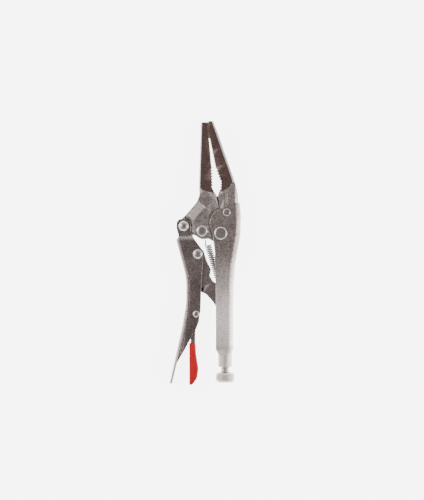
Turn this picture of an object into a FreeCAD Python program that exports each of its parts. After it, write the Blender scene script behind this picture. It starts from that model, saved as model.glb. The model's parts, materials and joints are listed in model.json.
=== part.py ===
"""Long-nose locking pliers, lying flat on one side, jaws toward +Y, +Z up.

The origin is on the axis of the main pivot, on the flat face of its lower rivet head.
"""
import FreeCAD, Part
import math
import os

Vector = FreeCAD.Vector

# Every driving size in millimetres: (name in the sheet, value, what it is).
SIZES = [
    ("jaw_reach", 96.5, "main pivot to the jaw tips"),
    ("handle_reach", 115.0, "main pivot to the rolled end of the fixed handle"),
    ("channel_width", 14.0, "outside width of the fixed handle"),
    ("sheet_wall", 2.0, "sheet of the fixed handle"),
    ("web_radius", 5.0, "outside bend of the fixed handle"),
    ("lever_width", 12.8, "outside width of the lever handle"),
    ("lever_wall", 1.8, "sheet of the lever handle"),
    ("lever_radius", 3.0, "outside bend of the lever handle"),
    ("ear_step", 0.5, "how far the lever's ears lie below its sides"),
    ("crease_depth", 0.45, "pressed crease along the lever"),
    ("body_step", 0.9, "how far the thick part of the movable jaw stands above its tongue"),
    ("flat_step", 0.4, "how far the jaws' ground flats lie below the faces in the handle"),
    ("tip_thickness", 4.6, "both jaws at the tip"),
    ("back_bevel", 2.9, "bevel along the back of the fixed jaw, where it sits in the bend"),
    ("side_clearance", 0.3, "free play beside each moving piece"),
    ("running_fit", 0.05, "radial play of a rivet or of the screw"),
    ("jaw_gap", 0.12, "play between the tooth crests of the closed jaws"),
    ("tooth_depth", 0.5, "fine teeth"),
    ("grip_tooth_depth", 1.3, "coarse teeth"),
    ("tooth_pitch", 1.3, "fine teeth"),
    ("grip_tooth_pitch", 2.3, "coarse teeth"),
    ("head_height", 1.0, "main rivet head above the handle"),
    ("pivot_diameter", 7.0, "main rivet shank"),
    ("pivot_head", 11.2, "main rivet head"),
    ("anchor_diameter", 4.4, "shank of the rivet that holds the fixed jaw"),
    ("anchor_head", 6.4, "head of the rivet that holds the fixed jaw"),
    ("lever_rivet", 5.0, "shank of the lever rivet"),
    ("lever_rivet_head", 8.9, "head of the lever rivet"),
    ("toggle_rivet", 4.6, "shank of the toggle rivet"),
    ("toggle_rivet_head", 8.4, "head of the toggle rivet"),
    ("release_rivet", 3.2, "shank of the release lever rivet"),
    ("release_rivet_head", 5.8, "head of the release lever rivet"),
    ("spring_rivet", 4.0, "shank of the spring rivet"),
    ("spring_rivet_head", 9.6, "head of the spring rivet"),
    ("dome_height", 1.5, "domed rivet heads above the lever handle"),
    ("lever_dome", 2.0, "head of the lever rivet above the lever's ears"),
    ("toggle_play", 1.1, "free room beside the toggle link in the lever handle"),
    ("release_play", 1.6, "free room beside the release lever in the lever handle"),
    ("sleeve_play", 0.4, "free room beside the plastic sleeve in the lever handle"),
    ("screw_diameter", 7.4, "outside of the thread"),
    ("screw_x", 3.8, "axis of the screw from the main pivot"),
    ("barrel_wall", 2.25, "wall of the rolled end of the fixed handle"),
    ("barrel_length", 18.0, "rolled end of the fixed handle"),
    ("thread_show", 4.5, "thread between the handle and the knob"),
    ("knob_diameter", 16.0, "knurled knob"),
    ("knob_length", 9.0, "knurled knob"),
    ("spring_diameter", 6.0, "outside of the spring coil"),
    ("spring_wire", 1.1, "wire of the spring"),
    ("plate_relief", 0.4, "height of the plate on the movable jaw"),
    ("groove_depth", 0.5, "grooves down the sides of the fixed jaw"),
    ("rib_thickness", 3.0, "rib of the fixed jaw that runs in a slot of the movable jaw"),
]

# Sizes that follow from the ones above: (name in the sheet, formula, what it is).
DERIVED = [
    ("inside_width", "=channel_width - 2 * sheet_wall", "inside width of the fixed handle"),
    ("lever_inside", "=lever_width - 2 * lever_wall", "inside width of the lever handle"),
    ("tongue_thickness", "=inside_width - 2 * side_clearance", "tongue of the movable jaw"),
    ("body_thickness", "=tongue_thickness + 2 * body_step", "thick part of the movable jaw"),
    ("flat_thickness", "=inside_width - 2 * flat_step", "both jaws between their ground flats"),
    ("toggle_thickness", "=lever_inside - 2 * toggle_play", "toggle link"),
    ("release_thickness", "=lever_inside - 2 * release_play", "release lever"),
    ("sleeve_thickness", "=lever_inside - 2 * sleeve_play", "plastic sleeve of the release lever"),
    ("bore_diameter", "=screw_diameter + 2 * running_fit", "bore for the screw"),
    ("barrel_diameter", "=bore_diameter + 2 * barrel_wall", "rolled end of the fixed handle"),
]

doc = FreeCAD.newDocument("locking_pliers")
sheet = doc.addObject("Spreadsheet::Sheet", "Sizes")
for row, (alias, value, meaning) in enumerate(SIZES + DERIVED, start=1):
    sheet.set(f"A{row}", meaning)
    sheet.set(f"B{row}", str(value))
    sheet.setAlias(f"B{row}", alias)
doc.recompute()
size = {alias: float(sheet.get(alias)) for alias, _, _ in SIZES + DERIVED}

# The outlines are drawn for these two reaches and stretch along Y with the sheet:
# the nose above the root of the jaws, the handles below the toggle rivet.
DRAWN_JAW_REACH = 96.5
DRAWN_HANDLE_REACH = 115.0
NOSE_ROOT = 36.0
HANDLE_ROOT = -20.0

# Height of the middle plane, which every piece is symmetric about.
MIDDLE = "Sizes.channel_width / 2 + Sizes.head_height"


def station(y):
    """Y of a point drawn at y, once the jaws and handles have their lengths."""
    if y > NOSE_ROOT:
        return NOSE_ROOT + (y - NOSE_ROOT) * (size["jaw_reach"] - NOSE_ROOT) / (DRAWN_JAW_REACH - NOSE_ROOT)
    if y < HANDLE_ROOT:
        stretch = (size["handle_reach"] + HANDLE_ROOT) / (DRAWN_HANDLE_REACH + HANDLE_ROOT)
        return HANDLE_ROOT + (y - HANDLE_ROOT) * stretch
    return y


def at(x, y):
    """A point of an outline, drawn at x, y."""
    return Vector(x, station(y), 0)


PIVOT = at(0, 0)
ANCHOR = at(5.2, 17.9)
LEVER_PIVOT = at(-31.66, 6.14)
TOGGLE_PIVOT = at(-19.6, -17.8)
RELEASE_PIVOT = at(-21.0, -69.3)
SPRING_EYE = at(-16.0, 2.0)
SPRING_TOP = at(-11.0, -9.6)
SPRING_END = at(-2.6, -38.0)
SPRING_LUG = at(6.8, -43.2)
SCREW_POINT = -76.2
TONGUE_RADIUS = 8.6
PLATE_CENTRE = at(-20.6, 19.2)
PLATE_TILT = 48.3
PLATE_LENGTH = 14.8
PLATE_WIDTH = 6.4
FIXED_JAW_BACK = 15.2
SCREW_SPLIT = -82.0


def rounded(points):
    """Lines and tangent arcs of a closed outline; a point is (x, y) or (x, y, radius)."""
    corners = [at(point[0], point[1]) for point in points]
    radii = [point[2] if len(point) == 3 else 0 for point in points]
    count = len(corners)
    starts = []
    arcs = []
    for index, corner in enumerate(corners):
        before = (corner - corners[index - 1])
        after = (corners[(index + 1) % count] - corner)
        turn = before.getAngle(after)
        room = 0.49 * min(before.Length, after.Length)
        reach = min(radii[index] * math.tan(turn / 2), room)
        before.normalize()
        after.normalize()
        enter = corner - before * reach
        leave = corner + after * reach
        starts.append((enter, leave))
        if reach > 0:
            radius = reach / math.tan(turn / 2)
            inward = (after - before).normalize()
            top = corner + inward * (radius / math.cos(turn / 2) - radius)
            arcs.append(Part.Arc(enter, top, leave))
    lines = []
    for index in range(count):
        leave = starts[index][1]
        enter = starts[(index + 1) % count][0]
        lines.append(Part.LineSegment(leave, enter))
    return lines + arcs


def circle(centre, diameter):
    """A full circle for a sketch."""
    return [Part.Circle(centre, Vector(0, 0, 1), diameter / 2)]


def teeth(start, end, pitch, depth, inward):
    """Zigzag from start to end: crests on the line, roots moved by depth along inward."""
    first = Vector(start[0], start[1], 0)
    run = Vector(end[0], end[1], 0) - first
    count = max(1, round(run.Length / pitch))
    points = []
    for index in range(count):
        crest = first + run * (index / count)
        root = first + run * ((index + 0.5) / count)
        points.append((crest.x, crest.y))
        points.append((root.x + inward * depth, root.y))
    return points


def new_body(name):
    """A body whose middle plane is its own XY plane, lifted to its height."""
    body = doc.addObject("PartDesign::Body", name)
    body.Label = name
    body.setExpression("Placement.Base.z", MIDDLE)
    return body


def sketch_on(body, name, role, geometry):
    """A sketch on one of the body's own origin planes."""
    sketch = body.newObject("Sketcher::SketchObject", name)
    plane = next(item for item in body.Origin.OriginFeatures if item.Role == role)
    sketch.AttachmentSupport = [(plane, "")]
    sketch.MapMode = "FlatFace"
    for piece in geometry:
        sketch.addGeometry(piece, False)
    return sketch


def pad(body, name, geometry, width):
    """Material on both sides of the middle plane; width is an expression."""
    feature = body.newObject("PartDesign::Pad", name)
    feature.Profile = sketch_on(body, name + "_sketch", "XY_Plane", geometry)
    feature.SideType = "Symmetric"
    feature.setExpression("Length", width)
    doc.recompute()
    return feature


def pocket(body, name, geometry, width):
    """A cut on both sides of the middle plane; width is an expression."""
    before = body.Shape.Volume
    feature = body.newObject("PartDesign::Pocket", name)
    feature.Profile = sketch_on(body, name + "_sketch", "XY_Plane", geometry)
    feature.SideType = "Symmetric"
    feature.setExpression("Length", width)
    doc.recompute()
    if body.Shape.Volume >= before:
        raise RuntimeError(name + " cuts nothing")
    return feature


def turned(body, kind, name, points, axis_x):
    """A revolution or groove of an outline about an axis parallel to Y."""
    geometry = rounded(points)
    sketch = sketch_on(body, name + "_sketch", "XY_Plane", geometry)
    axis = Part.LineSegment(Vector(axis_x, 0, 0), Vector(axis_x, 10, 0))
    sketch.addGeometry(axis, True)
    feature = body.newObject("PartDesign::" + kind, name)
    feature.Profile = sketch
    feature.ReferenceAxis = (sketch, ["Axis0"])
    doc.recompute()
    return feature


def fillet(body, name, radius, wanted):
    """Round the edges of the body for which wanted(edge) is true; radius is an expression."""
    base = body.Tip
    names = [f"Edge{i}" for i, edge in enumerate(base.Shape.Edges, start=1) if wanted(edge)]
    feature = body.newObject("PartDesign::Fillet", name)
    feature.Base = (base, names)
    feature.setExpression("Radius", radius)
    doc.recompute()
    if not feature.isValid():
        raise RuntimeError(name + " failed on " + str(len(names)) + " edges")
    return feature


def on_side(edge, half_width):
    """True for an edge that lies in one of the two flat sides of a body."""
    box = edge.BoundBox
    flat = box.ZLength < 0.001
    return flat and abs(abs(box.Center.z) - half_width) < 0.001


# ---- fixed handle: a pressed channel, open toward the lever, rolled round the screw ----

def fixed_handle():
    body = new_body("fixed_handle")
    outline = [
        (-0.8, 21.2), (-5.6, 18.8, 5), (-9.8, 10.0, 7), (-6.6, -3.0, 14), (-5.0, -16.0, 20),
        (-5.0, -30.0, 60), (-4.2, -46.0, 60), (-4.2, -99.5, 2), (-1.4, -104.5, 3), (9.2, -104.5),
        (11.2, -99.0, 12), (11.4, -44.0, 60), (12.6, -26.0, 50), (17.0, -2.0, 50), (17.6, 14.0, 30),
        (16.6, 26.2), (8.0, 22.6, 16),
    ]
    pad(body, "channel", rounded(outline), "Sizes.channel_width")
    half = size["channel_width"] / 2
    fillet(
        body, "web_bend", "Sizes.web_radius",
        lambda edge: on_side(edge, half) and is_handle_back(edge),
    )
    wall = size["sheet_wall"]
    inside = [
        (-20.0, 40.0), (14.9, 40.0), (17.6 - wall, 14.0, 28), (16.9 - wall, -2.0, 48),
        (12.5 - wall, -26.0, 48), (11.4 - wall, -44.0, 58), (11.3 - wall, -97.0), (-20.0, -97.0),
    ]
    pocket(body, "hollow", rounded(inside), "Sizes.inside_width")
    fillet(
        body, "inner_bend", "Sizes.web_radius - Sizes.sheet_wall",
        lambda edge: on_side(edge, half - wall) and is_handle_back(edge),
    )
    barrel(body)
    pocket(body, "pivot_hole", circle(PIVOT, size["pivot_diameter"]), "Sizes.channel_width * 2")
    pocket(body, "anchor_hole", circle(ANCHOR, size["anchor_diameter"]), "Sizes.channel_width * 2")
    lug = [(7.4, -41.6, 0.8), (10.0, -41.6), (10.0, -45.6), (7.4, -45.6, 0.8)]
    pad(body, "spring_lug", rounded(lug), "Sizes.sheet_wall * 2")
    return body


def is_handle_back(edge):
    """True for the edges along the back of the fixed handle, below the fork."""
    box = edge.BoundBox
    return box.XMin > 8.9 and box.XLength < box.YLength and box.Center.y < 25.0


def barrel(body):
    """The rolled end, with a clear bore for the screw."""
    centre = size["screw_x"]
    outer = centre + size["barrel_diameter"] / 2
    bore = centre + size["bore_diameter"] / 2
    end = -DRAWN_HANDLE_REACH
    top = end + size["barrel_length"]
    tube = [(centre, top), (outer, top), (outer, end, 0.8), (centre, end)]
    turned(body, "Revolution", "rolled_end", tube, centre)
    clear = [(centre, top + 2), (bore, top + 2), (bore, end - 1), (centre, end - 1)]
    turned(body, "Groove", "screw_bore", clear, centre)


# ---- jaws: forged, with ground noses that taper to the tip ----

def nose_taper():
    """Wedges that grind both sides of a jaw from the root's thickness down to the tip's."""
    base_half = size["flat_thickness"] / 2
    tip_half = size["tip_thickness"] / 2
    root = station(44.0)
    tip = size["jaw_reach"] + 1
    far = size["channel_width"]
    geometry = []
    for side in (1, -1):
        corners = [
            Vector(root, side * base_half, 0), Vector(tip, side * tip_half, 0),
            Vector(tip, side * far, 0), Vector(root, side * far, 0),
        ]
        for index in range(4):
            geometry.append(Part.LineSegment(corners[index], corners[(index + 1) % 4]))
    return geometry


def cut_through(body, name, role, geometry):
    """Cut right across a body along the normal of one of its origin planes."""
    before = body.Shape.Volume
    feature = body.newObject("PartDesign::Pocket", name)
    feature.Profile = sketch_on(body, name + "_sketch", role, geometry)
    feature.SideType = "Symmetric"
    feature.Length = 3 * size["handle_reach"]
    doc.recompute()
    if body.Shape.Volume >= before:
        raise RuntimeError(name + " cuts nothing")


def fixed_jaw():
    body = new_body("fixed_jaw")
    play = size["jaw_gap"]
    depth = size["tooth_depth"]
    grip_depth = size["grip_tooth_depth"]
    outline = [(-6.4, 96.5, 1.2), (-2.2, 86.0, 60), (1.6, 75.0, 60), (6.2, 61.5, 80), (10.6, 49.0, 60)]
    outline += [(14.9, 35.0, 40), (FIXED_JAW_BACK, 22.0, 20), (FIXED_JAW_BACK, 8.0), (9.0, 4.0, 1)]
    outline += [(6.9, 6.9, 4), (-0.5, 9.9, 4), (-0.5, 20.4, 10), (-2.4, 33.2, 3), (-0.8, 36.6)]
    outline += teeth((-0.6, 37.4), (-0.2, 44.0), size["grip_tooth_pitch"], grip_depth, 1)
    outline += teeth((-0.2, 44.0), (-4.5, 55.6), size["grip_tooth_pitch"], grip_depth, 1)
    outline += teeth((-4.5, 57.0), (-9.8 + play, 82.0), size["tooth_pitch"], depth, 1)
    outline += teeth((-9.8 + play, 82.0), (-10.6 + play, 95.0), size["tooth_pitch"], depth, -1)
    outline += [(-10.6 + play, 95.0), (-10.6 + play, 96.5, 0.6)]
    pad(body, "forging", rounded(outline), "Sizes.inside_width")
    cut_through(body, "back_bevel", "XZ_Plane", back_corners(size["inside_width"] / 2))
    flat = [(-20.0, 36.3), (0.5, 36.3), (7.0, 38.4, 10), (12.6, 49.0), (40.0, 49.0), (40.0, 120.0), (-20.0, 120.0)]
    thin_sides(body, "ground_flat", flat, "Sizes.flat_thickness / 2")
    cut_through(body, "nose_taper", "YZ_Plane", nose_taper())
    groove = [(4.5, 15.0), (4.5, 35.2, 0.5), (5.9, 35.2, 0.5), (5.9, 15.0)]
    thin_sides(body, "side_groove", groove, "Sizes.inside_width / 2 - Sizes.groove_depth")
    rib = [(-4.7, 32.0, 0.4), (0.6, 32.0), (0.6, 21.0), (-2.5, 21.0, 0.4)]
    pad(body, "guide_rib", rounded(rib), "Sizes.rib_thickness")
    pocket(body, "anchor_hole", circle(ANCHOR, size["anchor_diameter"]), "Sizes.channel_width * 2")
    return body


def back_corners(half):
    """Triangles that bevel the back corners of the fixed jaw, seen along Y."""
    back = FIXED_JAW_BACK + 0.1
    bevel = size["back_bevel"]
    lines = []
    far = back + bevel
    for side in (1, -1):
        corners = [
            (back - bevel, side * half), (back, side * (half - bevel)), (far, side * (half - bevel)),
            (far, side * (half + bevel)), (back - bevel, side * (half + bevel)),
        ]
        points = [Vector(x, y, 0) for x, y in corners]
        lines += [Part.LineSegment(points[i - 1], points[i]) for i in range(len(points))]
    return lines


def disc_corners(radius):
    """Corners of an octagon round the main pivot, clockwise, whose arcs make a disc of this radius."""
    reach = radius / math.cos(math.radians(22.5))
    angles = [math.radians(angle) for angle in (67.5, 22.5, -22.5, -67.5, -112.5)]
    return [(reach * math.cos(angle), reach * math.sin(angle), radius) for angle in angles]


def movable_jaw():
    body = new_body("movable_jaw")
    depth = size["tooth_depth"]
    grip_depth = size["grip_tooth_depth"]
    nose = [(-10.6, 95.6, 0.8)]
    nose += teeth((-10.6, 95.0), (-9.8, 82.0), size["tooth_pitch"], depth, -1)
    nose += teeth((-9.8, 82.0), (-7.6, 57.0), size["tooth_pitch"], depth, -1)
    nose += teeth((-7.2, 56.2), (-6.4, 39.0), size["grip_tooth_pitch"], grip_depth, -1)
    nose += [(-5.8, 36.0, 3), (-3.9, 33.4, 1), (-1.2, 20.5, 10)]
    tongue = [(-0.9, TONGUE_RADIUS, 0.5)] + disc_corners(TONGUE_RADIUS) + [(-10.0, -4.8, 4)]
    arm = [(-16.5, -5.2, 5), (-22.5, -1.6, 5), (-27.0, -1.2, 6), (-30.0, 0.8, 3), (-36.6, 1.4, 4.9), (-36.6, 9.6, 4.9)]
    back = [(-30.0, 15.5, 12), (-20.5, 26.6, 10), (-18.2, 32.6, 8), (-18.5, 44.0, 40), (-17.3, 80.0, 80)]
    back += [(-16.9, 95.4, 1.2)]
    pad(body, "forging", rounded(nose + tongue + arm + back), "Sizes.body_thickness")
    flat = [(-40.0, 47.0), (-19.0, 41.5), (-14.6, 36.4, 9), (-8.0, 34.9), (20.0, 34.9), (20.0, 120.0), (-40.0, 120.0)]
    thin_sides(body, "ground_flat", flat, "Sizes.flat_thickness / 2")
    cut_through(body, "nose_taper", "YZ_Plane", nose_taper())
    tongue_area = [
        (-8.5, -20.0), (-8.5, -1.0, 3), (-10.4, 5.0, 4), (-10.6, 12.6, 5), (-8.5, 18.6, 4), (-8.5, 33.4, 1.5),
        (-5.5, 34.0), (20.0, 34.0), (20.0, -20.0),
    ]
    thin_sides(body, "tongue_cut", tongue_area, "Sizes.tongue_thickness / 2")
    slot = [(-5.9, 34.6), (3.0, 34.6), (3.0, 20.0), (-2.95, 20.0, 0.4)]
    pocket(body, "rib_slot", rounded(slot), "Sizes.rib_thickness + 2 * Sizes.side_clearance")
    fork = [(-24.2, 13.8, 7.4), (-24.2, 2.0, 4), (-21.0, -7.0), (-50.0, -7.0), (-50.0, 13.8)]
    thin_sides(body, "fork_cut", fork, "Sizes.lever_inside / 2 - Sizes.side_clearance")
    hole = size["pivot_diameter"] + 2 * size["running_fit"]
    pocket(body, "pivot_hole", circle(PIVOT, hole), "Sizes.channel_width * 2")
    lever_hole = size["lever_rivet"] + 2 * size["running_fit"]
    pocket(body, "lever_hole", circle(LEVER_PIVOT, lever_hole), "Sizes.channel_width * 2")
    pocket(body, "spring_hole", circle(SPRING_EYE, size["spring_rivet"]), "Sizes.channel_width * 2")
    name_plate(body)
    return body


def thin_sides(body, name, points, half):
    """Step both sides of a body down to half, over the area of the outline."""
    before = body.Shape.Volume
    for side in ("upper", "lower"):
        sketch = sketch_on(body, f"{name}_{side}_sketch", "XY_Plane", rounded(points))
        sign = "" if side == "upper" else "-"
        sketch.setExpression("AttachmentOffset.Base.z", f"{sign}({half})")
        feature = body.newObject("PartDesign::Pocket", f"{name}_{side}")
        feature.Profile = sketch
        feature.setExpression("Length", "Sizes.channel_width")
        feature.Reversed = side == "upper"
        doc.recompute()
        if body.Shape.Volume >= before:
            raise RuntimeError(name + " cuts nothing")
        before = body.Shape.Volume


def name_plate(body):
    """A raised rounded plate without lettering on both sides of the movable jaw."""
    tilt = math.radians(PLATE_TILT)
    along = Vector(math.cos(tilt), math.sin(tilt), 0) * (PLATE_LENGTH / 2)
    across = Vector(-math.sin(tilt), math.cos(tilt), 0) * (PLATE_WIDTH / 2)
    corners = []
    for end, edge in ((-1, -1), (1, -1), (1, 1), (-1, 1)):
        corner = PLATE_CENTRE + along * end + across * edge
        corners.append((corner.x, corner.y, 1.2))
    pad(body, "name_plate", rounded(corners), "Sizes.body_thickness + 2 * Sizes.plate_relief")


# ---- lever handle: a pressed channel, open toward the fixed handle, forked at the top ----

def lever_handle():
    body = new_body("lever_handle")
    outline = [
        (-25.6, 12.3, 5.8), (-25.4, 1.0, 6), (-22.5, -5.0, 8), (-15.2, -15.0, 6), (-15.0, -24.0, 20),
        (-16.6, -44.0, 60), (-17.1, -66.0), (-30.0, -129.0), (-43.9, -129.0), (-33.4, -82.0, 80),
        (-29.6, -60.0, 60), (-29.6, -38.0, 60), (-38.2, -6.0), (-36.6, -3.8), (-36.2, -1.4, 3),
        (-37.8, 3.5, 8), (-37.9, 12.3, 5.8),
    ]
    pad(body, "channel", rounded(outline), "Sizes.lever_width")
    half = size["lever_width"] / 2
    fillet(
        body, "web_bend", "Sizes.lever_radius",
        lambda edge: on_side(edge, half) and is_lever_back(edge),
    )
    wall = size["lever_wall"]
    inside = [
        (-60.0, 30.0), (-60.0, -5.2), (-38.4 + wall, -5.2), (-29.6 + wall, -38.0, 58),
        (-29.6 + wall, -60.0, 58), (-33.4 + wall, -82.0, 78), (-44.1 + wall, -130.0), (-5.0, -130.0), (-5.0, 30.0),
    ]
    pocket(body, "hollow", rounded(inside), "Sizes.lever_inside")
    heel = [
        (-17.1, -62.0), (-17.2, -68.0, 20), (-18.4, -76.5, 14), (-30.5, -99.5, 60), (-37.6, -111.6, 8),
        (-42.0, -130.0), (-10.0, -130.0), (-10.0, -62.0),
    ]
    pocket(body, "heel", rounded(heel), "Sizes.channel_width * 2")
    ears = [
        (-60.0, 30.0), (-60.0, -3.4), (-36.0, -3.4), (-30.0, -4.4, 10), (-23.0, -1.0), (-10.0, 4.0),
        (-10.0, 30.0),
    ]
    thin_sides(body, "ear_step", ears, "Sizes.lever_width / 2 - Sizes.ear_step")
    crease = [
        (-27.6, -37.0, 0.4), (-26.8, -37.0, 0.4), (-26.6, -55.0, 60), (-27.8, -71.0, 60), (-33.2, -102.0, 0.4),
        (-34.0, -101.8, 0.4), (-28.6, -71.0, 60), (-27.5, -55.0, 60),
    ]
    thin_sides(body, "crease", crease, "Sizes.lever_width / 2 - Sizes.crease_depth")
    pocket(body, "lever_hole", circle(LEVER_PIVOT, size["lever_rivet"]), "Sizes.channel_width * 2")
    pocket(body, "toggle_hole", circle(TOGGLE_PIVOT, size["toggle_rivet"]), "Sizes.channel_width * 2")
    pocket(body, "release_hole", circle(RELEASE_PIVOT, size["release_rivet"]), "Sizes.channel_width * 2")
    return body


def is_lever_back(edge):
    """True for the edges along the back of the lever handle, from the neck to the tail."""
    x = edge.BoundBox.Center.x
    y = edge.BoundBox.Center.y
    return x < -28.0 and station(-128.0) < y < -5.0 and edge.BoundBox.XMax < -28.0


# ---- toggle link: from the toggle rivet to the point of the screw ----

def toggle_link():
    body = new_body("toggle_link")
    outline = [
        (-24.4, -13.0, 4.6), (-15.2, -13.0, 4.6), (-12.0, -23.5, 20), (-8.2, -31.2, 1), (-9.4, -36.4, 3),
        (-6.6, -41.4, 4), (-3.4, -43.2, 2), (2.6, -51.0, 12), (6.4, -62.0, 20), (7.0, -73.4, 3.2),
        (0.8, -73.4, 3.2), (-5.6, -60.0, 20), (-12.4, -52.4, 6), (-17.6, -50.0, 3), (-18.6, -34.0, 20),
        (-24.4, -22.4, 4.6),
    ]
    pad(body, "link", rounded(outline), "Sizes.toggle_thickness")
    hole = size["toggle_rivet"] + 2 * size["running_fit"]
    pocket(body, "toggle_hole", circle(TOGGLE_PIVOT, hole), "Sizes.channel_width * 2")
    return body


# ---- release lever, with its plastic sleeve ----

def release_lever():
    body = new_body("release_lever")
    outline = [
        (-17.2, -53.6, 1.5), (-17.6, -67.0, 4), (-18.6, -76.0, 6), (-21.8, -84.0, 8), (-21.8, -100.0, 30),
        (-20.8, -118.0, 10), (-24.6, -127.0, 3), (-25.7, -127.0, 1), (-25.7, -84.0, 12), (-24.0, -73.0, 6),
        (-23.8, -66.0, 6), (-20.6, -52.6, 1.5),
    ]
    pad(body, "plate", rounded(outline), "Sizes.release_thickness")
    hole = size["release_rivet"] + 2 * size["running_fit"]
    pocket(body, "release_hole", circle(RELEASE_PIVOT, hole), "Sizes.channel_width * 2")
    return body


def release_lever_grip():
    body = new_body("release_lever_grip")
    outline = [
        (-27.0, -94.4, 0.8), (-21.4, -94.4, 0.8), (-20.9, -104.0, 30), (-18.9, -116.5, 12), (-20.2, -125.0, 8),
        (-24.4, -130.5, 3), (-27.0, -130.5, 2),
    ]
    pad(body, "sleeve", rounded(outline), "Sizes.sleeve_thickness")
    half = size["sleeve_thickness"] / 2
    fillet(body, "soft_edges", "Sizes.sleeve_thickness / 7", lambda edge: on_side(edge, half))
    cavity = [
        (-25.7, -90.0), (-21.8, -90.0), (-21.8, -100.0, 30), (-20.8, -118.0, 10), (-24.6, -127.0, 3),
        (-25.7, -127.0, 1),
    ]
    pocket(body, "cavity", rounded(cavity), "Sizes.release_thickness")
    return body


# ---- rivets ----

HEAD_BEVEL = 0.62     # share of a head's height that slopes
DOME_FLAT = 0.5       # share of a domed head that is flat on top


def rivet(name, centre, shank, head, seat, height, flat):
    """A rivet on an axis parallel to Z; seat and height are expressions, flat is the flat of its head."""
    body = doc.addObject("PartDesign::Body", name)
    body.Label = name
    body.Placement.Base = centre
    body.setExpression("Placement.Base.z", MIDDLE)
    grip = value_of(body, seat)
    top = grip + value_of(body, height)
    bevel = (top - grip) * HEAD_BEVEL
    side = [
        (0, -top), (flat / 2, -top), (head / 2, -top + bevel), (head / 2, -grip), (shank / 2, -grip),
        (shank / 2, grip), (head / 2, grip), (head / 2, top - bevel), (flat / 2, top), (0, top),
    ]
    corners = [Vector(x, y, 0) for x, y in side]
    lines = [Part.LineSegment(corners[i - 1], corners[i]) for i in range(len(corners))]
    sketch = sketch_on(body, name + "_sketch", "XZ_Plane", lines)
    feature = body.newObject("PartDesign::Revolution", "turned")
    feature.Profile = sketch
    feature.ReferenceAxis = (sketch, ["V_Axis"])
    doc.recompute()
    return body


def value_of(holder, expression):
    """The value of an expression in the sheet."""
    return float(holder.evalExpression(expression))


def rivets():
    handle = "Sizes.channel_width / 2"
    lever = "Sizes.lever_width / 2"
    jaw = "Sizes.body_thickness / 2"
    head = size["pivot_head"]
    return [
        rivet("main_pivot_rivet", PIVOT, size["pivot_diameter"], head, handle, "Sizes.head_height", head * 0.68),
        rivet("jaw_anchor_rivet", ANCHOR, size["anchor_diameter"], size["anchor_head"], handle,
              "Sizes.head_height / 2", size["anchor_head"] * 0.75),
        rivet("lever_rivet", LEVER_PIVOT, size["lever_rivet"], size["lever_rivet_head"], lever + " - Sizes.ear_step",
              "Sizes.lever_dome", size["lever_rivet_head"] * DOME_FLAT),
        rivet("toggle_rivet", TOGGLE_PIVOT, size["toggle_rivet"], size["toggle_rivet_head"], lever,
              "Sizes.dome_height", size["toggle_rivet_head"] * DOME_FLAT),
        rivet("release_lever_rivet", RELEASE_PIVOT, size["release_rivet"], size["release_rivet_head"], lever,
              "Sizes.dome_height * 0.7", size["release_rivet_head"] * DOME_FLAT),
        rivet("spring_rivet", SPRING_EYE, size["spring_rivet"], size["spring_rivet_head"], jaw,
              "Sizes.dome_height * 0.8", size["spring_rivet_head"] * DOME_FLAT),
    ]


# ---- adjusting screw ----

def screw_nose():
    body = new_body("screw_nose")
    centre = size["screw_x"]
    radius = size["screw_diameter"] / 2
    outline = [
        (centre, SCREW_POINT), (centre + radius, SCREW_POINT, radius * 0.6), (centre + radius, SCREW_SPLIT),
        (centre, SCREW_SPLIT),
    ]
    turned(body, "Revolution", "point", outline, centre)
    return body


def adjusting_screw():
    body = new_body("adjusting_screw")
    centre = size["screw_x"]
    thread = centre + size["screw_diameter"] / 2
    knob = centre + size["knob_diameter"] / 2
    top = -DRAWN_HANDLE_REACH - size["thread_show"]
    end = top - size["knob_length"]
    outline = [
        (centre, SCREW_SPLIT), (thread, SCREW_SPLIT), (thread, top), (knob, top, 2.4), (knob, end, 2.4),
        (centre + 4.6, end), (centre + 4.0, end + 0.8), (centre, end + 0.8),
    ]
    turned(body, "Revolution", "screw", outline, centre)
    return body


# ---- return spring ----

def bar(start, end, radius):
    """A round bar between two points."""
    run = end - start
    return Part.makeCylinder(radius, run.Length, start, run)


def spring():
    """The closed coil as a tube, with a straight end wire toward the jaw and one toward the lug."""
    outer = size["spring_diameter"] / 2
    wire = size["spring_wire"] / 2
    run = SPRING_END - SPRING_TOP
    run.normalize()
    across = Vector(-run.y, run.x, 0)
    coil = bar(SPRING_TOP, SPRING_END, outer).cut(bar(SPRING_TOP - run, SPRING_END + run, outer - 2 * wire))
    top_start = SPRING_TOP + run * wire - across * (outer - wire)
    end_start = SPRING_END - run * wire + across * (outer - wire)
    shape = coil.fuse(bar(top_start, at(-13.0, -5.9), wire)).fuse(bar(end_start, SPRING_LUG, wire))
    feature = doc.addObject("Part::Feature", "spring")
    feature.Shape = shape.removeSplitter()
    feature.Label = "spring"
    feature.setExpression("Placement.Base.z", MIDDLE)
    doc.recompute()
    return feature


def main():
    """Build every piece, check each one and write it to its own file."""
    pieces = [
        fixed_handle(), fixed_jaw(), movable_jaw(), lever_handle(), toggle_link(), release_lever(),
        release_lever_grip(), screw_nose(), adjusting_screw(), spring(),
    ] + rivets()
    doc.recompute()
    for item in doc.Objects:
        if "Invalid" in item.State or "Error" in item.State:
            raise RuntimeError(item.Label + " failed: " + str(item.State))
    os.makedirs("parts", exist_ok=True)
    for piece in pieces:
        shape = piece.Shape
        if shape.isNull() or not shape.isValid() or len(shape.Solids) != 1:
            raise RuntimeError(piece.Label + " has no sound shape")
        shape.exportStep(f"parts/{piece.Label}.step")
        print(piece.Label, round(shape.Volume), shape.BoundBox)


main()
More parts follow.
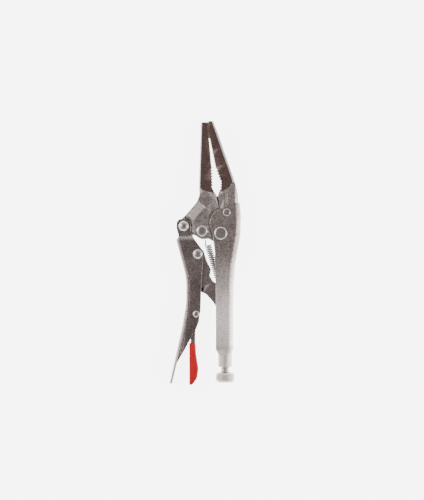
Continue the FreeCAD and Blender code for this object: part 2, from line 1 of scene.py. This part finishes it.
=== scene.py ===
"""Long-nose locking pliers on a pale table, seen from straight above."""
import json
import math
import bpy
import bmesh
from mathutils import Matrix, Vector


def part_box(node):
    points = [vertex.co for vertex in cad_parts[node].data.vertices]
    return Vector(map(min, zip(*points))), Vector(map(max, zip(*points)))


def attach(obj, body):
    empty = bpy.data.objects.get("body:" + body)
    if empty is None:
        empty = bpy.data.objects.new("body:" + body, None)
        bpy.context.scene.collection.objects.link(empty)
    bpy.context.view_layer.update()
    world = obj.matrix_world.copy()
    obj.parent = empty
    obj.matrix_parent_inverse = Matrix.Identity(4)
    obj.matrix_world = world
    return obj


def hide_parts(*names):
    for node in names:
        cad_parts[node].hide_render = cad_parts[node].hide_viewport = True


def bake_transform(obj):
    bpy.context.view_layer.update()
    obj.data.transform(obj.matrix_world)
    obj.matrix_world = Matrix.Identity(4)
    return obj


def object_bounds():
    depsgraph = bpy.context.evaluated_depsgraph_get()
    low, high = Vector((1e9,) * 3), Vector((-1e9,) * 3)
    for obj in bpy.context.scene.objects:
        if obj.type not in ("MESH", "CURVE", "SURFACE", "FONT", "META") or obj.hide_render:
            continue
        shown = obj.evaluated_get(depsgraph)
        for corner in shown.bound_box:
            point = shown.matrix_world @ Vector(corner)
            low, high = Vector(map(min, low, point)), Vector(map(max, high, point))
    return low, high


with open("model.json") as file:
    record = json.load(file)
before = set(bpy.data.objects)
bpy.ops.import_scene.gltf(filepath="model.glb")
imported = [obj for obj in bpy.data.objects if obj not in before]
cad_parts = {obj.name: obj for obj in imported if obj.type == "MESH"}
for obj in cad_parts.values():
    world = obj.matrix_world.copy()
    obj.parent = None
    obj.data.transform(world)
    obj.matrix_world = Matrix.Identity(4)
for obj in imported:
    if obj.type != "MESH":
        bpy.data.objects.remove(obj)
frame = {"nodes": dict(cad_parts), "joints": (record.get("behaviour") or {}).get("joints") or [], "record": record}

cad_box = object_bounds()
MM = 0.001

# Places that come from the model.
KNOB_LOW, KNOB_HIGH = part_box("adjusting_screw")
JOINTS = {joint["name"]: joint for joint in frame["joints"]}
MIDDLE = JOINTS["jaw_pivot"]["pos_m"][2]

BODY_OF = {}
for body_name, body_nodes in frame["record"]["behaviour"]["bodies"].items():
    for body_node in body_nodes:
        BODY_OF[body_node] = body_name


# ---------------------------------------------------------------- stage

VIEW_HEIGHT = 0.4325      # height of what the camera takes in, in metres
VIEW_DISTANCE = 1.6       # height of the camera
VIEW_CENTRE = (-0.0074, -0.0144)
SENSOR = 36.0             # width of the camera's sensor, in millimetres


def camera():
    data = bpy.data.cameras.new("camera")
    data.lens = SENSOR * VIEW_DISTANCE / VIEW_HEIGHT
    data.sensor_width = SENSOR
    data.clip_end = 10
    obj = bpy.data.objects.new("camera", data)
    obj.location = (*VIEW_CENTRE, VIEW_DISTANCE)
    bpy.context.collection.objects.link(obj)
    bpy.context.scene.camera = obj


def soft_box(name, place, target, width, depth, power):
    """A rectangular light at place, turned toward target."""
    data = bpy.data.lights.new(name, "AREA")
    data.shape = "RECTANGLE"
    data.size = width
    data.size_y = depth
    data.energy = power
    obj = bpy.data.objects.new(name, data)
    obj.location = place
    obj.rotation_euler = (Vector(target) - Vector(place)).to_track_quat("-Z", "Y").to_euler()
    bpy.context.collection.objects.link(obj)


def lights():
    """Three soft boxes, under a tent that is bright at its sides and dark overhead."""
    soft_box("left_box", (-0.9, 0.25, 0.75), (0, 0, 0), 0.5, 1.2, 7)
    soft_box("right_box", (0.95, -0.1, 0.6), (0, 0, 0), 0.35, 1.1, 6)
    soft_box("low_box", (0.0, -1.2, 0.7), (0, 0, 0), 0.9, 0.3, 4)
    world = bpy.data.worlds.new("studio")
    world.use_nodes = True
    tree = world.node_tree
    place = tree.nodes.new("ShaderNodeTexCoord")
    split = tree.nodes.new("ShaderNodeSeparateXYZ")
    ramp = tree.nodes.new("ShaderNodeValToRGB")
    tree.links.new(place.outputs["Generated"], split.inputs["Vector"])
    tree.links.new(split.outputs["Z"], ramp.inputs["Fac"])
    tree.links.new(ramp.outputs["Color"], tree.nodes["Background"].inputs["Color"])
    ramp.color_ramp.elements[0].position = 0.60
    ramp.color_ramp.elements[0].color = (1.0, 1.0, 1.0, 1)
    ramp.color_ramp.elements[1].position = 0.93
    ramp.color_ramp.elements[1].color = (0.12, 0.11, 0.105, 1)
    tree.nodes["Background"].inputs["Strength"].default_value = 1.7
    bpy.context.scene.world = world


TABLE_GLOW = 5.4          # the table is a lit screen, so it takes hardly any shadow
TABLE_HALF = 1.5          # half its width
TABLE_GAP = 0.1 * MM      # it lies this far below the part, so that nothing cuts it


def table():
    mesh = bpy.data.meshes.new("table")
    half = TABLE_HALF
    top = cad_box[0][2] - TABLE_GAP
    corners = [(-half, -half, top), (half, -half, top), (half, half, top), (-half, half, top)]
    mesh.from_pydata(corners, [], [(0, 1, 2, 3)])
    obj = bpy.data.objects.new("table", mesh)
    bpy.context.collection.objects.link(obj)
    obj.data.materials.append(table_material())


# ---------------------------------------------------------------- materials

NOISE_ROUGHNESS = 0.6
EDGE_HIGHLIGHT_FADE = 0.4            # width over which the painted edge highlight comes in, in millimetres
BEVEL_SAMPLES = 6


class Nodes:
    """A short way to write a material's nodes; noise scales are per metre."""

    def __init__(self, name):
        self.material = bpy.data.materials.new(name)
        self.material.use_nodes = True
        self.tree = self.material.node_tree
        self.shader = self.tree.nodes["Principled BSDF"]
        self.place = self.add("ShaderNodeTexCoord").outputs["Object"]

    def add(self, kind, **values):
        node = self.tree.nodes.new(kind)
        for key, value in values.items():
            setattr(node, key, value)
        return node

    def link(self, source, target):
        self.tree.links.new(source, target)

    def scaled(self, scale):
        """The place on the object, stretched along its axes."""
        node = self.add("ShaderNodeMapping")
        node.inputs["Scale"].default_value = scale
        self.link(self.place, node.inputs["Vector"])
        return node.outputs["Vector"]

    def noise(self, scale, detail=4.0, stretch=(1, 1, 1)):
        node = self.add("ShaderNodeTexNoise")
        node.inputs["Scale"].default_value = scale
        node.inputs["Detail"].default_value = detail
        node.inputs["Roughness"].default_value = NOISE_ROUGHNESS
        self.link(self.scaled(stretch), node.inputs["Vector"])
        return node.outputs["Fac"]

    def spread(self, value, low, high, to_low=0.0, to_high=1.0):
        """Map the stretch from low to high of a value to another one."""
        node = self.add("ShaderNodeMapRange")
        node.inputs["From Min"].default_value = low
        node.inputs["From Max"].default_value = high
        node.inputs["To Min"].default_value = to_low
        node.inputs["To Max"].default_value = to_high
        self.link(value, node.inputs["Value"])
        return node.outputs["Result"]

    def mix(self, fac, first, second):
        """Mix two colours by an output; each of them is a colour or an output."""
        node = self.add("ShaderNodeMix", data_type="RGBA")
        for index, value in ((0, fac), (6, first), (7, second)):
            socket = node.inputs[index]
            if isinstance(value, bpy.types.NodeSocket):
                self.link(value, socket)
            else:
                socket.default_value = (*value, 1)
        return node.outputs[2]

    def sum(self, first, second, weight):
        """The first output and the second one times weight."""
        node = self.add("ShaderNodeMath", operation="MULTIPLY_ADD")
        self.link(second, node.inputs[0])
        node.inputs[1].default_value = weight
        self.link(first, node.inputs[2])
        return node.outputs[0]

    def product(self, first, second):
        node = self.add("ShaderNodeMath", operation="MULTIPLY")
        self.link(first, node.inputs[0])
        self.link(second, node.inputs[1])
        return node.outputs[0]

    def beyond(self, split, x_weight, y_weight, begin):
        """One past a line across the piece, on the side where x and y so weighted pass begin."""
        line = self.add("ShaderNodeMath", operation="MULTIPLY")
        self.link(split.outputs["X"], line.inputs[0])
        line.inputs[1].default_value = x_weight
        across = self.sum(line.outputs[0], split.outputs["Y"], y_weight)
        return self.spread(across, begin * MM, (begin + EDGE_HIGHLIGHT_FADE) * MM)

    def bump(self, height, distance, rounded=None):
        """Relief from an output, distance metres deep; rounded is a node that rounds the edges."""
        node = self.add("ShaderNodeBump")
        if rounded:
            self.link(rounded.outputs["Normal"], node.inputs["Normal"])
        node.inputs["Distance"].default_value = distance
        self.link(height, node.inputs["Height"])
        self.link(node.outputs["Normal"], self.shader.inputs["Normal"])


def metal(
    name, light, dark, rough, speckle, grain=(1, 1, 1), mottle=45.0, edge=0.5, bands=(), edge_highlight=None,
):
    """Plated steel: blotches between two tints, dark speckle, fine grain and softened edges.

    rough is the roughness, speckle the strength of the dark specks, grain how the streaks
    are stretched, mottle the scale of the blotches and edge the radius of the edges in
    millimetres. bands holds (y where it starts, y where it is full, tint, share of the
    speckle that is left). The last argument is a painted highlight, a light tint past a line
    that stands in for the shine on a rounded edge: (tint, x weight, y weight, start).
    """
    nodes = Nodes(name)
    nodes.shader.inputs["Metallic"].default_value = 1.0
    split = nodes.add("ShaderNodeSeparateXYZ")
    nodes.link(nodes.place, split.inputs["Vector"])
    blotch = nodes.spread(nodes.noise(mottle, 5.0), 0.35, 0.68)
    colour = nodes.mix(blotch, light, dark)
    specks = nodes.noise(780.0, 2.5)
    speck = nodes.spread(specks, 0.44, 0.62, 0.0, speckle)
    streak = nodes.noise(900.0, 3.0, grain)
    uneven = nodes.sum(streak, blotch, 0.6)
    gloss = nodes.spread(uneven, 0.3, 1.3, rough - 0.06, rough + 0.12)
    for begin, full, tint, share in bands:
        fade = nodes.spread(split.outputs["Y"], begin * MM, full * MM)
        colour = nodes.mix(fade, colour, tint)
        speck = nodes.product(speck, nodes.spread(fade, 0.0, 1.0, 1.0, share))
        gloss = nodes.sum(gloss, fade, 0.15 * (1 - share))
    colour = nodes.mix(speck, colour, tuple(0.35 * value for value in dark))
    rounded = nodes.add("ShaderNodeBevel", samples=BEVEL_SAMPLES)
    rounded.inputs["Radius"].default_value = edge * MM
    # Painted highlight: a light tint past a line, standing in for the shine on a rounded edge.
    if edge_highlight:
        tint, x_weight, y_weight, begin = edge_highlight
        colour = nodes.mix(nodes.beyond(split, x_weight, y_weight, begin), colour, tint)
    nodes.link(colour, nodes.shader.inputs["Base Color"])
    nodes.link(gloss, nodes.shader.inputs["Roughness"])
    nodes.bump(nodes.sum(streak, specks, 0.9), 0.05 * MM, rounded)
    return nodes.material


def red_plastic():
    """Dipped red plastic: glossy, with a faint skin of dimples and a darker tint in patches."""
    nodes = Nodes("red_plastic")
    patch = nodes.spread(nodes.noise(120.0, 3.0), 0.35, 0.7)
    colour = nodes.mix(patch, (0.46, 0.008, 0.010), (0.34, 0.005, 0.008))
    gloss = nodes.spread(nodes.noise(700.0), 0.3, 0.7, 0.22, 0.36)
    nodes.link(colour, nodes.shader.inputs["Base Color"])
    nodes.link(gloss, nodes.shader.inputs["Roughness"])
    nodes.shader.inputs["Coat Weight"].default_value = 0.3
    nodes.bump(nodes.noise(420.0, 3.0), 0.06 * MM)
    return nodes.material


def table_material():
    """A pale grey sheet that gives off light of its own."""
    nodes = Nodes("pale_table")
    grain = nodes.noise(260.0)
    colour = nodes.mix(grain, (0.93, 0.93, 0.93), (0.90, 0.90, 0.90))
    gloss = nodes.spread(grain, 0.3, 0.7, 0.75, 0.9)
    nodes.link(colour, nodes.shader.inputs["Base Color"])
    nodes.link(gloss, nodes.shader.inputs["Roughness"])
    nodes.shader.inputs["Emission Color"].default_value = (1.0, 1.0, 1.0, 1)
    nodes.shader.inputs["Emission Strength"].default_value = TABLE_GLOW
    nodes.bump(grain, 0.02 * MM)
    return nodes.material


def paint(node, material):
    """Give a CAD node's slots a material."""
    for slot in frame["nodes"][node].material_slots:
        slot.material = material


# ---------------------------------------------------------------- pieces from the CAD

SHARP = math.radians(32)  # an edge that turns more than this stays sharp
LEVEL = 0.995             # upward part of the normal of a flat side
WELD = 0.002 * MM         # points nearer than this are one point


def dressed(node, material, areas=()):
    """Replace a CAD node by a copy with crisp edges.

    areas holds pairs of a finish and a test that is true for the faces that take it.
    """
    mesh = frame["nodes"][node].data.copy()
    mesh.name = node + "_dressed"
    mesh.materials.clear()
    mesh.materials.append(material)
    for finish, _ in areas:
        mesh.materials.append(finish)
    cleaned = bmesh.new()
    cleaned.from_mesh(mesh)
    bmesh.ops.remove_doubles(cleaned, verts=cleaned.verts, dist=WELD)
    cleaned.normal_update()
    for face in cleaned.faces:
        face.smooth = abs(face.normal.z) < LEVEL
        face.material_index = 0
        for index, (_, inside) in enumerate(areas, start=1):
            if inside(face):
                face.material_index = index
    cleaned.to_mesh(mesh)
    cleaned.free()
    mesh.set_sharp_from_angle(angle=SHARP)
    piece = bpy.data.objects.new(node + "_dressed", mesh)
    bpy.context.collection.objects.link(piece)
    even = piece.modifiers.new("even_normals", "WEIGHTED_NORMAL")
    even.keep_sharp = True
    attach(piece, BODY_OF[node])
    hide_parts(node)


# Heights are from the middle plane of the part.
FLAT_LOW = 2.0 * MM       # the ground flats of a jaw are between these two heights
FLAT_HIGH = 4.65 * MM
FLAT_START = 34.6 * MM    # where the ground flats begin
FLAT_TILT = 0.9           # least upward part of the normal of a ground flat
PLATE_FOOT = 5.7 * MM     # the movable jaw's plates are above this
CREASE_LOW = 5.7 * MM     # the floor of the lever's crease is between these two heights
CREASE_HIGH = 6.1 * MM
CREASE_START = -36 * MM   # where the crease begins


def is_ground(face):
    """True for a face of the flats that are ground on the noses."""
    place = face.calc_center_median()
    level = abs(place.z - MIDDLE)
    return abs(face.normal.z) > FLAT_TILT and FLAT_LOW < level < FLAT_HIGH and place.y > FLAT_START


def is_plate(face):
    """True for a face of the raised plates of the movable jaw."""
    return abs(face.calc_center_median().z - MIDDLE) > PLATE_FOOT


def is_crease(face):
    """True for a face of the floor of the crease pressed along the lever handle."""
    place = face.calc_center_median()
    deep = CREASE_LOW < abs(place.z - MIDDLE) < CREASE_HIGH
    return deep and abs(face.normal.z) > LEVEL and place.y < CREASE_START


# Height of each rivet's head above the piece it holds, in millimetres.
HEAD_HEIGHTS = {
    "main_pivot_rivet": 1.0,
    "jaw_anchor_rivet": 0.5,
    "lever_rivet": 2.0,
    "toggle_rivet": 1.5,
    "release_lever_rivet": 1.05,
    "spring_rivet": 1.2,
}
RIVET_SIDES = 48
DOME_STEPS = 8
DOME_TIP = 0.12 * MM      # radius of the small ring that closes a head
DOME_SHARP = math.radians(50)


def rivet_dome(node, shank, flat, bulge, material):
    """Replace a rivet by one whose heads are turned to a dome.

    shank is the radius of its shank; flat and bulge are shares of a head's radius and
    height: the share that is level on top, and the share that the dome takes up.
    """
    low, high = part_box(node)
    centre = Vector(((low[0] + high[0]) / 2, (low[1] + high[1]) / 2, MIDDLE))
    radius = (high[0] - low[0]) / 2
    top = high[2] - MIDDLE
    seat = top - HEAD_HEIGHTS[node] * MM
    profile = [(shank, seat), (radius, seat)]
    for step in range(DOME_STEPS + 1):
        turn = math.pi / 2 * step / DOME_STEPS
        reach = radius * (flat + (1 - flat) * math.cos(turn))
        profile.append((reach, seat + (top - seat) * (1 - bulge + bulge * math.sin(turn))))
    if flat > 0:
        profile.append((radius * flat * 0.5, top))
    profile.append((DOME_TIP, top))
    outline = [(reach, -height) for reach, height in reversed(profile)] + profile
    verts = []
    for reach, height in outline:
        for step in range(RIVET_SIDES):
            angle = 2 * math.pi * step / RIVET_SIDES
            verts.append(centre + Vector((reach * math.cos(angle), reach * math.sin(angle), height)))
    faces = lathe_grid(len(outline), RIVET_SIDES)
    piece = mesh_piece(node + "_turned", verts, faces, material)
    piece.data.set_sharp_from_angle(angle=DOME_SHARP)
    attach(piece, BODY_OF[node])
    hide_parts(node)


# ---------------------------------------------------------------- meshes made here

def mesh_piece(name, verts, faces, material):
    """A smooth-shaded piece of these points and faces."""
    mesh = bpy.data.meshes.new(name)
    mesh.from_pydata(verts, [], faces)
    mesh.validate()
    obj = bpy.data.objects.new(name, mesh)
    bpy.context.collection.objects.link(obj)
    for polygon in mesh.polygons:
        polygon.use_smooth = True
    mesh.materials.append(material)
    return obj


def lathe_grid(rings, around):
    """Faces of a closed tube of rings, each with the same count of points, with both ends filled."""
    faces = []
    for ring in range(rings - 1):
        low, high = ring * around, (ring + 1) * around
        for step in range(around):
            after = (step + 1) % around
            faces.append((low + step, low + after, high + after, high + step))
    faces.append(tuple(reversed(range(around))))
    faces.append(tuple(range((rings - 1) * around, rings * around)))
    return faces


def wave(value):
    """A triangle wave of period 1, from 0 to 1 and back."""
    part = value - math.floor(value)
    return 1 - abs(2 * part - 1)


THREAD_RADIUS = 3.7 * MM
THREAD_PITCH = 1.25 * MM
THREAD_DEPTH = 0.62 * MM
THREAD_ROOT = 0.12        # share of the triangle wave that is cut off at the thread's root
THREAD_STEEP = 1.35       # how much steeper than that wave the flanks are
THREAD_START = 1.5        # pitches over which the thread comes in
THREAD_SIDES = 56
RINGS_PER_TURN = 8        # rings of points along one pitch of the thread
ROD_IN_KNOB = 8.6 * MM    # the rod ends this far above the knob's low end
KNURL_COUNT = 30
KNURL_DEPTH = 0.55 * MM
KNURL_STEEP = 3.0         # the larger, the narrower the grooves
POINTS_PER_KNURL = 12
KNOB_LENGTH = 9.0 * MM
KNOB_EDGE = 3.4 * MM      # radius of the knob's rounded edges
KNOB_STEPS = 60
KNURL_MARGIN = 0.5 * MM   # the knurling begins this far from the knob's ends
KNURL_FADE = 0.9 * MM     # and comes in over this length
KNOB_RIM = 0.62           # share of the knob's radius at the inner side of its edges

# The turned recess in the knob's end: share of the knob's radius, and depth in millimetres.
KNOB_RECESS = [(0.30, 0.9), (0.42, 0.9), (0.50, 0.75), (0.55, 0.12), (KNOB_RIM, 0.0)]


def screw_axis():
    """The x and z of the screw's axis, which runs along y."""
    return (KNOB_LOW[0] + KNOB_HIGH[0]) / 2, (KNOB_LOW[2] + KNOB_HIGH[2]) / 2


def ring_points(radius_at, y, around):
    """Points round the screw's axis, with a radius that depends on the angle and y."""
    centre_x, centre_z = screw_axis()
    points = []
    for step in range(around):
        angle = 2 * math.pi * step / around
        radius = radius_at(angle, y)
        points.append((centre_x + radius * math.cos(angle), y, centre_z - radius * math.sin(angle)))
    return points


def even_ring(radius, y, around):
    """A round ring of points."""
    return ring_points(lambda angle, height: radius, y, around)


def threaded_rod(material):
    """The rod with a real helical thread, from the hidden end to the knob."""
    start = KNOB_HIGH[1]
    end = KNOB_LOW[1] + ROD_IN_KNOB
    rings = int((start - end) / THREAD_PITCH * RINGS_PER_TURN)

    def radius_at(angle, y):
        turn = y / THREAD_PITCH + angle / (2 * math.pi)
        crest = min(1.0, max(0.0, (wave(turn) - THREAD_ROOT) * THREAD_STEEP))
        fade = min(1.0, (start - y) / (THREAD_START * THREAD_PITCH))
        return THREAD_RADIUS - THREAD_DEPTH * (1 - crest) * fade

    verts = []
    for ring in range(rings + 1):
        verts += ring_points(radius_at, start + (end - start) * ring / rings, THREAD_SIDES)
    return mesh_piece("screw_thread", verts, lathe_grid(rings + 1, THREAD_SIDES), material)


def knob(material):
    """The knurled knob: crossed grooves round it, rounded edges and a turned recess in its end."""
    outer = (KNOB_HIGH[0] - KNOB_LOW[0]) / 2
    low = KNOB_LOW[1]
    around = KNURL_COUNT * POINTS_PER_KNURL
    slant = KNURL_COUNT / (2 * math.pi * outer)

    def radius_at(angle, y):
        along = y - low
        nearest = min(along, KNOB_LENGTH - along)
        inward = KNOB_EDGE - min(KNOB_EDGE, nearest)
        corner = KNOB_EDGE - math.sqrt(max(0.0, KNOB_EDGE * KNOB_EDGE - inward ** 2))
        across = KNURL_COUNT * angle / (2 * math.pi)
        nearer = min(wave(across + along * slant), wave(across - along * slant))
        grooves = max(0.0, 1 - KNURL_STEEP * nearer)
        shallow = min(1.0, max(0.0, (nearest - KNURL_MARGIN) / KNURL_FADE))
        return outer - corner - KNURL_DEPTH * grooves * shallow

    stations = [low + KNOB_LENGTH * step / KNOB_STEPS for step in range(KNOB_STEPS + 1)]
    verts = []
    for share, deep in KNOB_RECESS:
        verts += even_ring(outer * share, low + deep * MM, around)
    for y in stations:
        verts += ring_points(radius_at, y, around)
    verts += even_ring(outer * KNOB_RIM, low + KNOB_LENGTH, around)
    rings = len(KNOB_RECESS) + len(stations) + 1
    faces = [tuple(reversed(face)) for face in lathe_grid(rings, around)]
    return mesh_piece("screw_knob", verts, faces, material)


def tube(name, path, radius, material, sides):
    """A round wire along a list of points."""
    verts = []
    up = Vector((0, 0, 1))
    for index, point in enumerate(path):
        ahead = path[min(index + 1, len(path) - 1)] - path[max(index - 1, 0)]
        ahead.normalize()
        side = ahead.cross(up)
        if side.length < 0.1:
            side = ahead.cross(Vector((1, 0, 0)))
        side.normalize()
        other = side.cross(ahead)
        for step in range(sides):
            angle = 2 * math.pi * step / sides
            verts.append(point + side * (radius * math.cos(angle)) + other * (radius * math.sin(angle)))
    return mesh_piece(name, verts, lathe_grid(len(path), sides), material)


SPRING_TOP = Vector((-11.0, -9.6, 0)) * MM
SPRING_END = Vector((-2.6, -38.0, 0)) * MM
SPRING_WIRE = 0.55 * MM
SPRING_RADIUS = 2.45 * MM
SPRING_TURNS = 16
SPRING_SIDES = 8
POINTS_PER_TURN = 20
SPRING_INSET = 0.6 * MM   # the coil begins and ends this far inside its two end points

# The hook at each end of the coil, in millimetres.
TOP_HOOK = [(-13.0, -5.4, 0), (-13.0, -6.6, 0), (-12.9, -8.0, 0)]
END_HOOK = [(0.9, -40.4, 0), (4.0, -41.9, 0), (7.0, -43.2, 0)]


def spring(material):
    """The return spring: a close coil with a hook at each end."""
    lift = Vector((0, 0, MIDDLE))
    run = SPRING_END - SPRING_TOP
    along = run.normalized()
    across = Vector((-along.y, along.x, 0))
    up = Vector((0, 0, 1))
    first = SPRING_TOP + along * SPRING_INSET
    coiled = run - along * (2 * SPRING_INSET)
    path = [Vector(point) * MM for point in TOP_HOOK]
    steps = SPRING_TURNS * POINTS_PER_TURN
    for step in range(steps + 1):
        angle = math.pi + 2 * math.pi * SPRING_TURNS * step / steps
        ring = across * (math.cos(angle) * SPRING_RADIUS) + up * (math.sin(angle) * SPRING_RADIUS)
        path.append(first + coiled * (step / steps) + ring)
    path += [Vector(point) * MM for point in END_HOOK]
    path = [point + lift for point in path]
    piece = tube("return_spring", path, SPRING_WIRE, material, SPRING_SIDES)
    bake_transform(piece)
    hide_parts("spring")


# ---------------------------------------------------------------- the whole

# Tint of the painted highlight along the back edges of the jaws' ground flats.
EDGE_HIGHLIGHT_TINT = (0.95, 0.86, 0.84)
LENGTHWISE = (1, 0.12, 1)  # streaks that run along the handles
NOSEWISE = (1, 0.15, 1)    # streaks that run along the noses


def ground(name, x_weight, y_weight, begin):
    """The dark ground flat of a jaw, with a painted highlight past a line along its back that stands in for the
    shine on its rounded edge.
    """
    return metal(
        name, (0.170, 0.112, 0.102), (0.115, 0.076, 0.068), 0.42, 0.45, NOSEWISE, edge=1.5,
        edge_highlight=(EDGE_HIGHLIGHT_TINT, x_weight, y_weight, begin),
    )


def finishes():
    """A finish for each kind of piece."""
    bright = (-16, -62, (0.90, 0.81, 0.79), 0.45)
    # Painted shade: the round end of the handle that holds the screw is tinted darker than the band above it, to
    # damp its bright reflection of the glowing table.
    barrel_shade = (-95, -98, (0.62, 0.54, 0.52), 0.8)
    # Painted highlight: a light band where the lever's cheek steps out below the ears, for the light the tilted
    # step catches; below_step then gives the rest of the lever a darker tint.
    step_highlight = (-1.8, -3.2, (0.80, 0.72, 0.70), 1.0)
    below_step = (-4.2, -6.4, (0.28, 0.23, 0.22), 1.0)
    return {
        # The last band of the plated sheet is painted shade on the handle's round end.
        "plated": metal(
            "plated_sheet", (0.46, 0.39, 0.37), (0.30, 0.245, 0.23), 0.36, 0.62, LENGTHWISE, edge=0.8,
            bands=(bright, barrel_shade),
        ),
        "lever": metal(
            # The lever's bands paint a highlight on the step below its ears.
            "plated_lever", (0.34, 0.285, 0.27), (0.22, 0.18, 0.17), 0.34, 0.60, LENGTHWISE, edge=0.8,
            bands=(step_highlight, below_step),
        ),
        # Painted shade: the floor of the lever's crease is tinted dark for the shadow that falls in it.
        "crease": metal(
            "painted_crease_shade", (0.13, 0.11, 0.105), (0.09, 0.075, 0.07), 0.40, 0.30, edge=0.2,
        ),
        "forged": metal(
            "forged_jaw", (0.42, 0.365, 0.35), (0.28, 0.235, 0.225), 0.42, 0.70, mottle=90.0, edge=0.9,
        ),
        "plate": metal(
            "raised_plate", (0.84, 0.75, 0.73), (0.60, 0.53, 0.51), 0.42, 0.40, mottle=150.0,
        ),
        # Both ground flats carry a painted highlight along their back edges.
        "fixed_flat": ground("fixed_flat", 1.0, 0.346, 25.5),
        "movable_flat": ground("movable_flat", -1.0, 0.031, 18.7),
        "link": metal(
            "link_steel", (0.34, 0.285, 0.27), (0.25, 0.205, 0.19), 0.38, 0.62, mottle=70.0,
        ),
        "rivet": metal(
            "rivet_steel", (0.66, 0.60, 0.58), (0.50, 0.45, 0.43), 0.24, 0.20, mottle=120.0, edge=0.2,
        ),
        "screw": metal(
            "screw_steel", (0.66, 0.58, 0.56), (0.50, 0.43, 0.41), 0.30, 0.12, mottle=150.0, edge=0.2,
        ),
        "wire": metal(
            "spring_wire", (0.50, 0.47, 0.46), (0.30, 0.27, 0.26), 0.25, 0.30, mottle=300.0, edge=0.1,
        ),
    }


def rivet_pieces(finish):
    """The rivets: two with broad flat heads, the others domed."""
    rivet_dome("main_pivot_rivet", 3.5 * MM, 0.66, 0.95, finish)
    rivet_dome("jaw_anchor_rivet", 2.2 * MM, 0.62, 0.95, finish)
    rivet_dome("lever_rivet", 2.5 * MM, 0.0, 0.9, finish)
    rivet_dome("toggle_rivet", 2.3 * MM, 0.0, 0.9, finish)
    rivet_dome("release_lever_rivet", 1.6 * MM, 0.25, 0.9, finish)
    rivet_dome("spring_rivet", 2.0 * MM, 0.3, 0.9, finish)


def main():
    camera()
    lights()
    table()
    finish = finishes()
    dressed("fixed_handle", finish["plated"])
    # The floor of the lever's crease takes the painted crease shade.
    dressed("lever_handle", finish["lever"], [(finish["crease"], is_crease)])
    dressed("fixed_jaw", finish["forged"], [(finish["fixed_flat"], is_ground)])
    jaw_areas = [(finish["movable_flat"], is_ground), (finish["plate"], is_plate)]
    dressed("movable_jaw", finish["forged"], jaw_areas)
    dressed("toggle_link", finish["link"])
    dressed("release_lever", finish["link"])
    dressed("release_lever_grip", red_plastic())
    rivet_pieces(finish["rivet"])
    paint("screw_nose", finish["screw"])
    thread = threaded_rod(finish["screw"])
    head = knob(finish["screw"])
    for piece in (thread, head):
        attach(piece, "screw")
        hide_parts("adjusting_screw")
    spring(finish["wire"])


main()
